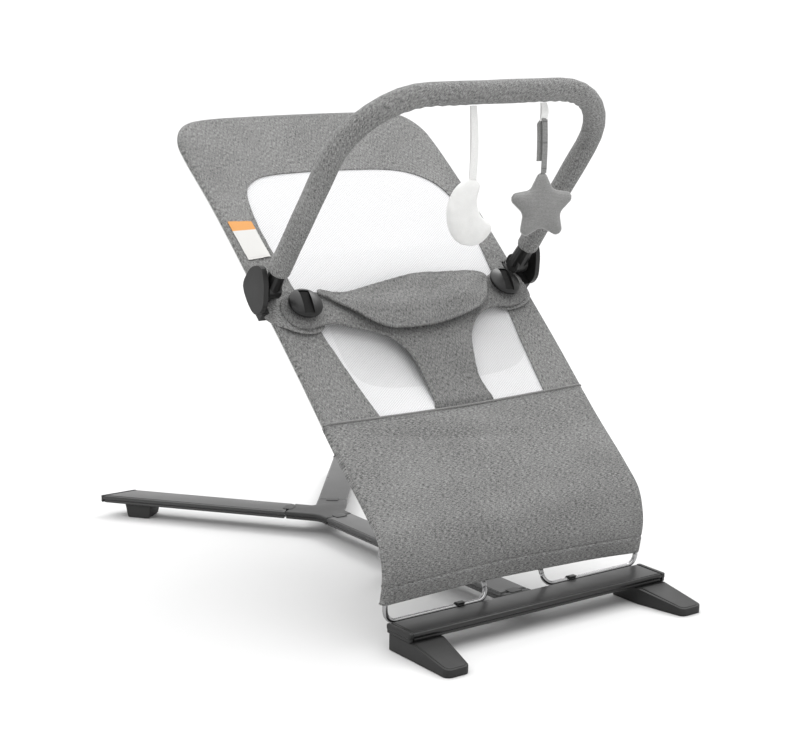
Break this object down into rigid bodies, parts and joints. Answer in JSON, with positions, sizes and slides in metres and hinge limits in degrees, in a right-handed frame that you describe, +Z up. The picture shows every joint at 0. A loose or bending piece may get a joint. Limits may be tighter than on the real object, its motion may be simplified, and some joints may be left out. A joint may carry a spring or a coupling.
{
  "type": "baby bouncer seat",
  "caption": "Folding baby bouncer: wire-framed fabric sling with mesh back and soft harness on a flat Y-shaped bar base, with a hinged toy bar carrying a plush moon and star.",
  "frame": {"origin": "on the floor, under the middle of the object's bounding box", "axes": "+Z up, +X to the right seen from the front, the seated child faces -Y and the head end is towards +Y"},
  "size_m": [0.4574, 0.8006, 0.6496],
  "materials": {
    "bar_paint": "satin dark grey paint on flat steel tube",
    "charcoal_plastic": "fine-textured charcoal moulding",
    "hub_plastic": "satin mid-grey moulding",
    "foot_rubber": "matt",
    "black_plastic": "satin black moulding",
    "bright_wire": "bright plated wire",
    "plain_steel": "zinc plated",
    "grey_melange": "mid-grey melange woven cloth",
    "dark_melange": "slightly darker grey melange cloth",
    "white_mesh": "white air mesh",
    "pale_lining": "pale plain lining",
    "label_cloth": "off-white sewn label, blank, with a plain apricot band",
    "white_ribbon": "white grosgrain ribbon",
    "white_plush": "white short-pile plush",
    "grey_plush": "grey ribbed jersey"
  },
  "bodies": {
    "base": {"crossbar": "bar_paint", "rear_leg_left": "bar_paint", "rear_leg_right": "bar_paint", "stem": "bar_paint", "crossbar_cap_left": "charcoal_plastic", "crossbar_cap_right": "charcoal_plastic", "front_foot_left": "charcoal_plastic", "front_foot_right": "charcoal_plastic", "rear_leg_cap_left": "charcoal_plastic", "rear_leg_cap_right": "charcoal_plastic", "stem_collar": "hub_plastic", "y_hub": "hub_plastic", "rear_foot_left": "foot_rubber", "rear_foot_right": "foot_rubber", "wire_clip_left": "black_plastic", "wire_clip_right": "black_plastic", "prop_housing": "black_plastic", "hub_screw_front": "plain_steel", "hub_screw_left": "plain_steel", "hub_screw_right": "plain_steel", "housing_screw_left": "plain_steel", "housing_screw_right": "plain_steel"},
    "seat": {"crown_wire": "bright_wire", "side_rail_left": "bright_wire", "side_rail_right": "bright_wire", "base_wire_left": "bright_wire", "base_wire_right": "bright_wire", "back_bar": "bright_wire", "seat_cover": "grey_melange", "mesh_panel": "white_mesh", "leg_panel": "grey_melange", "seam_piping": "dark_melange", "rear_lining": "pale_lining", "care_label": "label_cloth", "side_tongue_left": "dark_melange", "side_tongue_right": "dark_melange", "harness_body": "grey_melange", "harness_flap": "grey_melange", "toggle_anchor_left": "black_plastic", "toggle_anchor_right": "black_plastic", "toy_bar_bracket_left": "charcoal_plastic", "toy_bar_bracket_right": "charcoal_plastic"},
    "prop": {"prop_hoop": "bright_wire", "prop_shaft": "plain_steel"},
    "release": {"release_button": "charcoal_plastic"},
    "toy_bar": {"toy_bar_core": "black_plastic", "toy_bar_sleeve": "dark_melange", "toy_bar_socket_left": "black_plastic", "toy_bar_socket_right": "black_plastic"},
    "moon_toy": {"moon_ribbon": "white_ribbon", "moon": "white_plush"},
    "star_toy": {"star_ribbon": "white_ribbon", "star_strap": "grey_plush", "star": "grey_plush"},
    "toggle_left": {"toggle_disc_left": "black_plastic"},
    "toggle_right": {"toggle_disc_right": "black_plastic"}
  },
  "joints": [
    {"name": "seat_recline", "type": "hinge", "parent": "base", "child": "seat", "pos_m": [0, -0.27732, 0.03], "axis": [1, 0, 0], "range_deg": [-43, 0]},
    {"name": "prop_swing", "type": "hinge", "parent": "base", "child": "prop", "pos_m": [0, -0.07732, 0.042], "axis": [1, 0, 0], "range_deg": [-86, 0]},
    {"name": "release_press", "type": "slide", "parent": "base", "child": "release", "axis": [0, 0, -1], "range_m": [0, 0.003], "stiffness_N_per_m": 300, "springref_m": -0.002},
    {"name": "toy_bar_swing", "type": "hinge", "parent": "seat", "child": "toy_bar", "pos_m": [0, -0.02532, 0.391], "axis": [1, 0, 0], "range_deg": [-70, 35]},
    {"name": "moon_swing", "type": "hinge", "parent": "toy_bar", "child": "moon_toy", "pos_m": [-0.038, -0.2206, 0.62052], "axis": [1, 0, 0], "range_deg": [-40, 40]},
    {"name": "star_swing", "type": "hinge", "parent": "toy_bar", "child": "star_toy", "pos_m": [0.074, -0.2206, 0.62052], "axis": [1, 0, 0], "range_deg": [-40, 40]},
    {"name": "toggle_turn_left", "type": "hinge", "parent": "seat", "child": "toggle_left", "pos_m": [-0.158, -0.04605, 0.37017], "axis": [0, -0.6732, 0.7395], "range_deg": [-90, 90]},
    {"name": "toggle_turn_right", "type": "hinge", "parent": "seat", "child": "toggle_right", "pos_m": [0.158, -0.04605, 0.37017], "axis": [0, -0.6732, 0.7395], "range_deg": [-90, 90]}
  ],
  "couplings": [
    {"joint": "prop_swing", "follows": "seat_recline", "ratio": 2}
  ]
}
